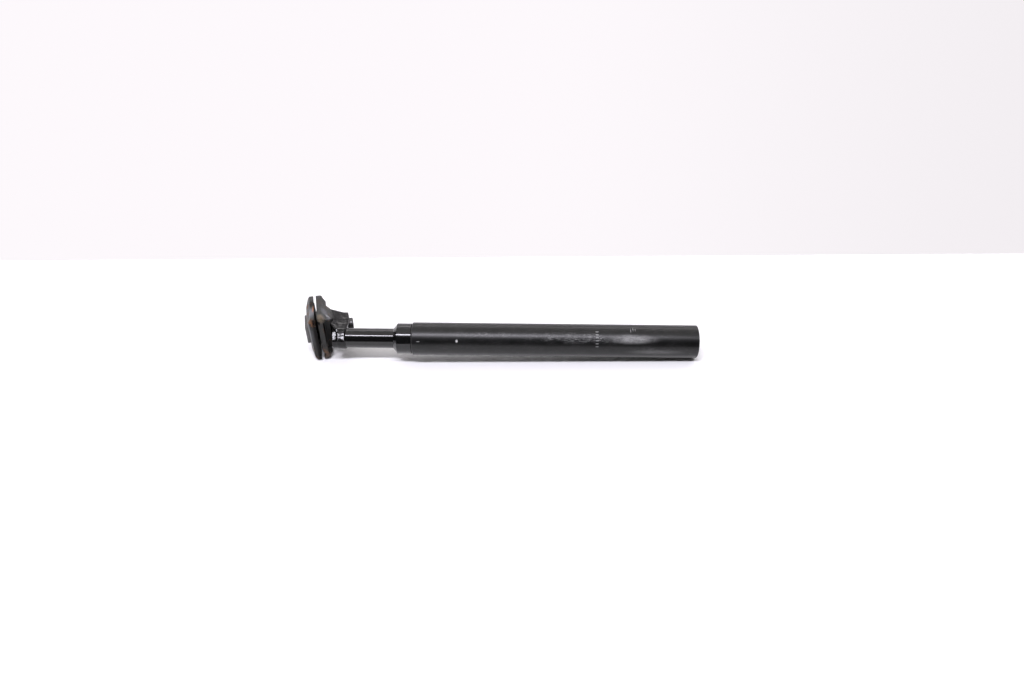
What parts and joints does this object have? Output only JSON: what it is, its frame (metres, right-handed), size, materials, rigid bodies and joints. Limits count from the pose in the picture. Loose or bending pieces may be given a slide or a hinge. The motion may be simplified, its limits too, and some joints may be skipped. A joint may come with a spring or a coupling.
{
  "type": "suspension seatpost",
  "caption": "Telescopic suspension bicycle seatpost with a coil spring, a preload plug and a tilting single-bolt clamp for two saddle rails.",
  "frame": {"origin": "on the post axis, in the plane of the minimum insertion mark, 105 mm from the tube's lower end", "axes": "+X along the post towards its lower end, -X towards the saddle clamp; +Y towards the saddle's rear; +Z to the saddle's side, up as the post lies in the picture"},
  "size_m": [0.421, 0.0549, 0.059],
  "materials": {
    "tube_paint": "matte black anodised, scuffed",
    "collar_black": "gloss black",
    "seal_rubber": "matte black",
    "guide_polymer": "natural acetal",
    "pin_steel": "ground",
    "elastomer": "amber urethane",
    "stanchion_black": "polished black",
    "seat_polymer": "moulded",
    "spring_steel": "oiled",
    "spacer_alloy": "as turned",
    "plug_alloy": "black anodised",
    "head_forging": "dark polished forging",
    "clamp_forging": "dirty grey forging with rust stains",
    "nut_zinc": "zinc plated, dulled",
    "bolt_black": "black oxide, worn",
    "washer_steel": "zinc plated"
  },
  "bodies": {
    "post_tube": {"outer_tube": "tube_paint", "collar_nut": "collar_black", "collar_gasket": "seal_rubber", "wiper_seal": "seal_rubber", "upper_guide": "guide_polymer", "key_pins": "pin_steel", "top_out_bumper": "elastomer"},
    "stanchion_unit": {"stanchion": "stanchion_black", "head": "head_forging", "lower_slider": "guide_polymer", "circlip": "pin_steel", "upper_spring_seat": "seat_polymer"},
    "preload_stack": {"main_spring": "spring_steel", "lower_spring_seat": "seat_polymer", "elastomer_core": "elastomer", "preload_spacer": "spacer_alloy"},
    "preload_screw": {"preload_plug": "plug_alloy"},
    "saddle_cradle": {"lower_clamp": "clamp_forging", "curved_washer": "washer_steel"},
    "clamp_cap": {"upper_clamp": "clamp_forging", "nut_plate": "nut_zinc"},
    "clamp_screw": {"clamp_bolt": "bolt_black", "flat_washer": "washer_steel"}
  },
  "joints": [
    {"name": "suspension_slide", "type": "slide", "parent": "post_tube", "child": "stanchion_unit", "axis": [1, 0, 0], "range_m": [0, 0.04], "stiffness_N_per_m": 12000, "springref_m": -0.012, "deforming": ["main_spring"]},
    {"name": "preload_slide", "type": "slide", "parent": "post_tube", "child": "preload_stack", "axis": [-1, 0, 0], "range_m": [0, 0.008]},
    {"name": "preload_turn", "type": "hinge", "parent": "preload_stack", "child": "preload_screw", "pos_m": [0.092, 0, 0], "axis": [-1, 0, 0], "range_deg": [0, 2880]},
    {"name": "saddle_tilt", "type": "hinge", "parent": "stanchion_unit", "child": "saddle_cradle", "pos_m": [-0.30748, 0.01445, 0], "axis": [0, 0, 1], "range_deg": [-5, 4]},
    {"name": "clamp_open", "type": "slide", "parent": "saddle_cradle", "child": "clamp_cap", "axis": [-0.9763, -0.2164, 0], "range_m": [0, 0.005]},
    {"name": "clamp_screw_turn", "type": "hinge", "parent": "saddle_cradle", "child": "clamp_screw", "pos_m": [-0.3005, 0.016, 0], "axis": [0.9763, 0.2164, 0], "range_deg": [0, 1440]}
  ],
  "couplings": [
    {"joint": "preload_turn", "follows": "preload_slide", "rad_per_m": 6283.2},
    {"joint": "clamp_screw_turn", "follows": "clamp_open", "rad_per_m": 5026.5}
  ]
}
